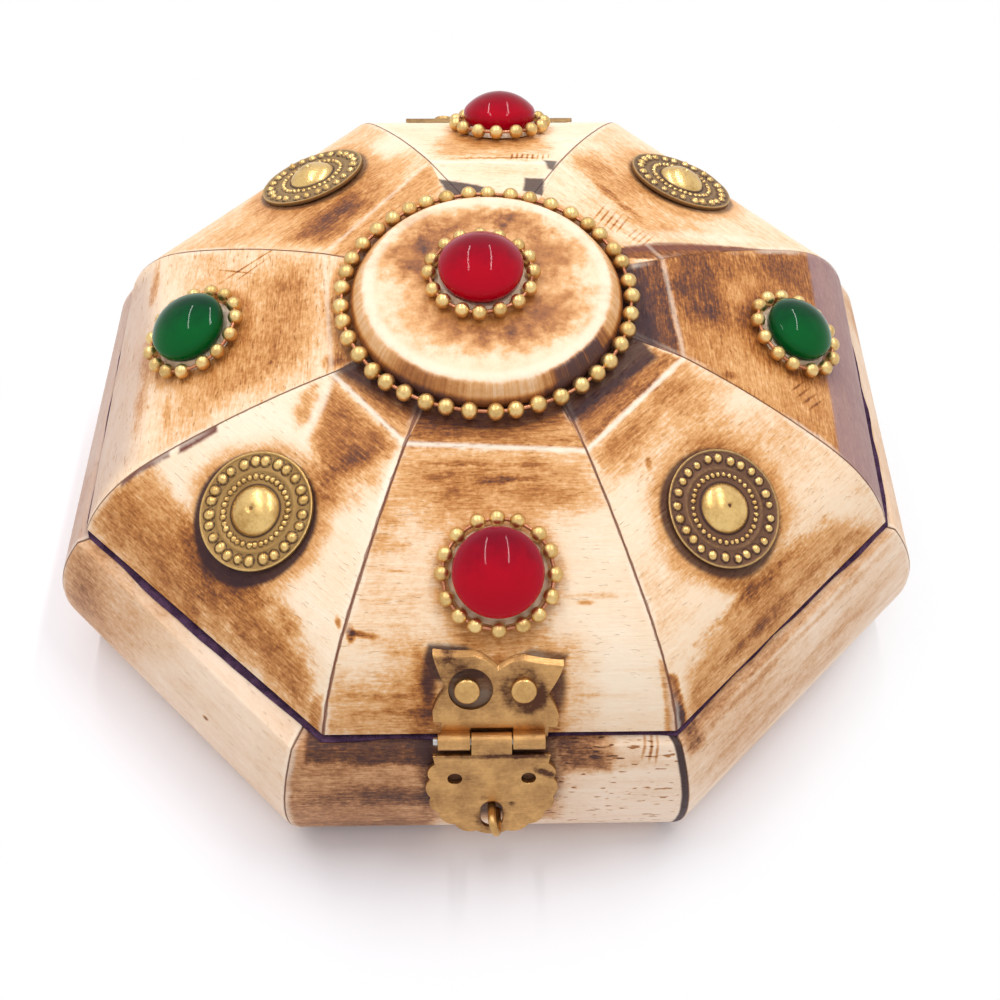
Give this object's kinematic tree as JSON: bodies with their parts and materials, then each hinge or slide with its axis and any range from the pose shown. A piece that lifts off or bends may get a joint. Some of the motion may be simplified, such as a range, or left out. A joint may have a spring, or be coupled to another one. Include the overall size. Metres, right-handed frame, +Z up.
{
  "type": "lidded trinket box",
  "caption": "Octagonal hinged trinket box in stained bone plates on a wooden carcass, with a domed lid set with glass cabochons, ball chain and brass rosettes, and a brass hasp.",
  "frame": {"origin": "middle of the underside", "axes": "+Z up, front with the hasp towards -Y, +X to the right seen from the front"},
  "size_m": [0.1251, 0.1286, 0.0561],
  "materials": {
    "stained_bone": "polished, stained brown in patches",
    "carcass_wood": "plain sawn and sanded",
    "purple_velvet": "short pile velvet",
    "red_glass": "polished, foil backed",
    "green_glass": "polished, foil backed",
    "bead_brass": "polished, tarnished in the recesses",
    "embossed_brass": "embossed, dark patina in the recesses",
    "fitting_brass": "matt antique",
    "dark_filler": "dark resin and sawdust filler in the joints",
    "clear_glue": "dried clear glue round the stones",
    "pin_steel": "cut wire"
  },
  "bodies": {
    "base": {"base_board": "carcass_wood", "base_staves": "carcass_wood", "base_bone_front": "stained_bone", "base_bone_front_right": "stained_bone", "base_bone_right": "stained_bone", "base_bone_back_right": "stained_bone", "base_bone_back": "stained_bone", "base_bone_back_left": "stained_bone", "base_bone_left": "stained_bone", "base_bone_front_left": "stained_bone", "base_floor_lining": "purple_velvet", "base_wall_lining": "purple_velvet", "base_rim_velvet": "purple_velvet", "staple": "fitting_brass", "hinge_base_leaf": "fitting_brass", "hinge_base_nails": "fitting_brass", "hinge_pin": "pin_steel"},
    "lid": {"lid_staves": "carcass_wood", "lid_top_board": "carcass_wood", "lid_lining": "purple_velvet", "lid_gore_front": "stained_bone", "lid_gore_front_right": "stained_bone", "lid_gore_right": "stained_bone", "lid_gore_back_right": "stained_bone", "lid_gore_back": "stained_bone", "lid_gore_back_left": "stained_bone", "lid_gore_left": "stained_bone", "lid_gore_front_left": "stained_bone", "lid_disc": "stained_bone", "disc_bead_chain": "bead_brass", "cabochon_centre": "red_glass", "cabochon_front": "red_glass", "cabochon_right": "green_glass", "cabochon_back": "red_glass", "cabochon_left": "green_glass", "bead_chain_centre": "bead_brass", "bead_chain_front": "bead_brass", "bead_chain_right": "bead_brass", "bead_chain_back": "bead_brass", "bead_chain_left": "bead_brass", "rosette_front_right": "embossed_brass", "rosette_back_right": "embossed_brass", "rosette_back_left": "embossed_brass", "rosette_front_left": "embossed_brass", "hasp_lid_leaf": "fitting_brass", "hasp_rivets": "fitting_brass", "hasp_pin": "pin_steel", "hinge_lid_leaf": "fitting_brass", "hinge_lid_nails": "fitting_brass"},
    "hasp_leaf": {"hasp_drop_leaf": "fitting_brass"}
  },
  "joints": [
    {"name": "lid_hinge", "type": "hinge", "parent": "base", "child": "lid", "pos_m": [0, 0.0575, 0.0253], "axis": [-1, 0, 0], "range_deg": [0, 160]},
    {"name": "hasp_hinge", "type": "hinge", "parent": "lid", "child": "hasp_leaf", "pos_m": [-0.00115, -0.0575, 0.0253], "axis": [-1, 0, 0], "range_deg": [0, 150]}
  ]
}
